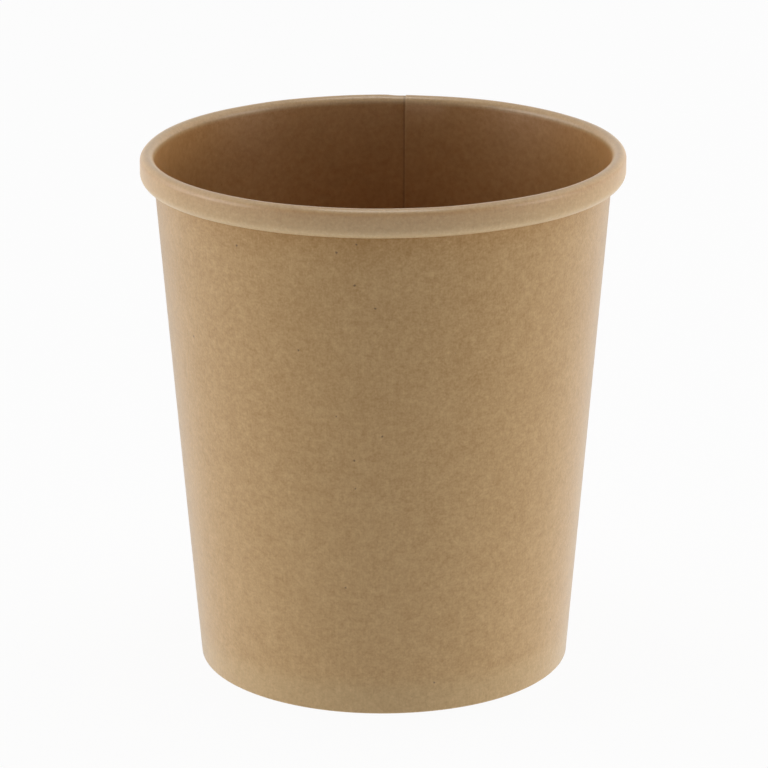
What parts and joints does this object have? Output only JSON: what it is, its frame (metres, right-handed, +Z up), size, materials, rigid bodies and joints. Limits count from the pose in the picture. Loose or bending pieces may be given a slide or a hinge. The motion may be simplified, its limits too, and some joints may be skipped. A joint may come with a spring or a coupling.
{
  "type": "kraft paper soup cup",
  "caption": "Tall round tapered kraft paperboard cup with a rolled rim, a lapped side seam, a folded foot ring and a recessed base, for soup or other hot food.",
  "frame": {"origin": "centre of the foot ring, on the surface that the cup stands on", "axes": "+Z up along the cup's axis; +Y towards the side seam, which is at the back; -Y towards the front"},
  "size_m": [0.117, 0.117, 0.1277],
  "materials": {
    "wall_board": "matte",
    "base_board": "matte"
  },
  "bodies": {
    "root": {"sidewall": "wall_board", "base_disc": "base_board"}
  },
  "joints": []
}
